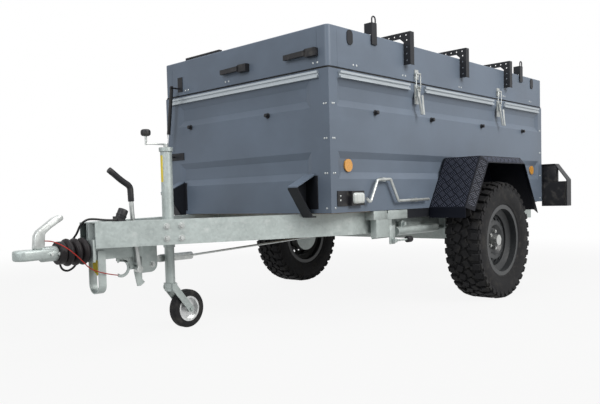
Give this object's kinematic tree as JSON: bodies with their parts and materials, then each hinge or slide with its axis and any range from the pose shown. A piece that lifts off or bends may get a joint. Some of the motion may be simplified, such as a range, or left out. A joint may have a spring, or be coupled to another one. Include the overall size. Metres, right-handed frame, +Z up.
{
  "type": "off-road camper trailer",
  "caption": "Single-axle off-road camping trailer: pressed-steel box, side-hinged lid on gas struts, tread-plate fenders, V-drawbar with overrun coupling, jack with nose wheel.",
  "frame": {"origin": "middle of the trailer's bounding box, on the ground", "axes": "+X forward to the coupling, +Y to the trailer's left, +Z up"},
  "size_m": [4.054, 1.87, 1.6239],
  "materials": {
    "box_paint": "satin anthracite paint on pressed sheet",
    "floor_wood": "film-faced plywood",
    "seal_rubber": "matt black profile",
    "galvanised": "hot-dip galvanised, mottled",
    "black_steel": "satin black powder coat",
    "tread_plate": "black coated five-bar tread plate",
    "rail_aluminium": "silver anodised extrusion",
    "zinc_hardware": "zinc plated",
    "black_plastic": "fine grained black plastic",
    "bellows_rubber": "matt black moulded rubber",
    "lens_red": "clear red lens",
    "lens_white": "white lens",
    "lens_amber": "amber reflector",
    "strut_black": "satin black",
    "strut_rod": "polished rod",
    "tyre_rubber": "matt tread rubber",
    "rim_paint": "satin black steel wheel",
    "hub_zinc": "zinc plated hub",
    "nose_rubber": "solid black rubber",
    "nose_rim": "zinc plated pressed rim"
  },
  "bodies": {
    "chassis": {"drawbar_beams": "galvanised", "cross_members": "galvanised", "jack_clamp": "galvanised", "box_floor": "floor_wood", "end_walls": "box_paint", "side_walls": "box_paint", "tie_down_rails": "rail_aluminium", "lid_seal": "seal_rubber", "box_hinges": "black_steel", "latches": "zinc_hardware", "strut_feet_box": "black_steel", "front_gussets": "black_steel", "fenders": "tread_plate", "lamp_frames": "black_steel", "lamp_housings": "black_plastic", "tail_lenses": "lens_red", "marker_lenses": "lens_white", "reflectors": "lens_amber", "stored_crank": "zinc_hardware", "axle_tube": "galvanised", "trailing_arms": "galvanised", "overrun_housing": "galvanised", "coupling_head": "galvanised", "coupling_lever": "zinc_hardware", "drawbar_bellows": "bellows_rubber", "parking_loop": "galvanised", "handbrake_lever": "zinc_hardware", "handbrake_grip": "black_plastic", "brake_linkage": "galvanised", "brake_rod": "zinc_hardware", "connector_plug": "black_plastic", "jack_outer_tube": "galvanised", "jack_crank": "zinc_hardware", "steady_brackets": "galvanised"},
    "lid": {"lid_roof": "box_paint", "lid_skirts": "box_paint", "lid_corners": "box_paint", "lid_hinges": "black_steel", "latch_keepers": "zinc_hardware", "lid_brackets": "black_steel", "lid_handles": "black_plastic", "strut_feet_lid": "black_steel"},
    "strut_barrel_front": {"strut_barrel_front": "strut_black"},
    "strut_rod_front": {"strut_rod_front": "strut_rod"},
    "strut_barrel_rear": {"strut_barrel_rear": "strut_black"},
    "strut_rod_rear": {"strut_rod_rear": "strut_rod"},
    "wheel_left": {"tyre_left": "tyre_rubber", "rim_left": "rim_paint", "hub_left": "hub_zinc"},
    "wheel_right": {"tyre_right": "tyre_rubber", "rim_right": "rim_paint", "hub_right": "hub_zinc"},
    "jack_leg": {"jack_leg": "galvanised"},
    "nose_fork": {"nose_fork": "galvanised"},
    "nose_wheel": {"nose_tyre": "nose_rubber", "nose_rim": "nose_rim"},
    "steady_left": {"steady_leg_left": "galvanised"},
    "steady_right": {"steady_leg_right": "galvanised"}
  },
  "joints": [
    {"name": "lid_open", "type": "hinge", "parent": "chassis", "child": "lid", "pos_m": [-0.697, -0.67, 1.3125], "axis": [1, 0, 0], "range_deg": [0, 70]},
    {"name": "wheel_left_spin", "type": "hinge", "parent": "chassis", "child": "wheel_left", "pos_m": [-0.697, 0.8145, 0.365], "axis": [0, 1, 0], "continuous": true},
    {"name": "wheel_right_spin", "type": "hinge", "parent": "chassis", "child": "wheel_right", "pos_m": [-0.697, -0.8145, 0.365], "axis": [0, 1, 0], "continuous": true},
    {"name": "jack_leg_slide", "type": "slide", "parent": "chassis", "child": "jack_leg", "axis": [0, 0, 1], "range_m": [-0.15, 0.1]},
    {"name": "nose_fork_swivel", "type": "hinge", "parent": "jack_leg", "child": "nose_fork", "pos_m": [1.203, 0, 0.225], "axis": [0, 0, 1], "continuous": true},
    {"name": "nose_wheel_spin", "type": "hinge", "parent": "nose_fork", "child": "nose_wheel", "pos_m": [1.103, 0, 0.1], "axis": [0, 1, 0], "continuous": true},
    {"name": "steady_left_swing", "type": "hinge", "parent": "chassis", "child": "steady_left", "pos_m": [0.013, 0.63, 0.5], "axis": [0, -1, 0], "range_deg": [0, 90]},
    {"name": "steady_right_swing", "type": "hinge", "parent": "chassis", "child": "steady_right", "pos_m": [0.013, -0.63, 0.5], "axis": [0, -1, 0], "range_deg": [0, 90]},
    {"name": "strut_front_turn", "type": "hinge", "parent": "lid", "child": "strut_barrel_front", "pos_m": [0.75, -0.522, 1.359], "axis": [1, 0, 0], "range_deg": [-53.39, 0]},
    {"name": "strut_front_slide", "type": "slide", "parent": "strut_barrel_front", "child": "strut_rod_front", "axis": [0, -0.1602, -0.9871], "range_m": [0, 0.10903]},
    {"name": "strut_rear_turn", "type": "hinge", "parent": "lid", "child": "strut_barrel_rear", "pos_m": [-2.002, -0.522, 1.359], "axis": [1, 0, 0], "range_deg": [-53.39, 0]},
    {"name": "strut_rear_slide", "type": "slide", "parent": "strut_barrel_rear", "child": "strut_rod_rear", "axis": [0, -0.1602, -0.9871], "range_m": [0, 0.10903]}
  ],
  "couplings": [
    {"joint": "strut_front_turn", "follows": "lid_open", "ratio": -0.75563},
    {"joint": "strut_front_slide", "follows": "lid_open", "m_per_rad": 0.088427},
    {"joint": "strut_rear_turn", "follows": "lid_open", "ratio": -0.75563},
    {"joint": "strut_rear_slide", "follows": "lid_open", "m_per_rad": 0.088427}
  ]
}
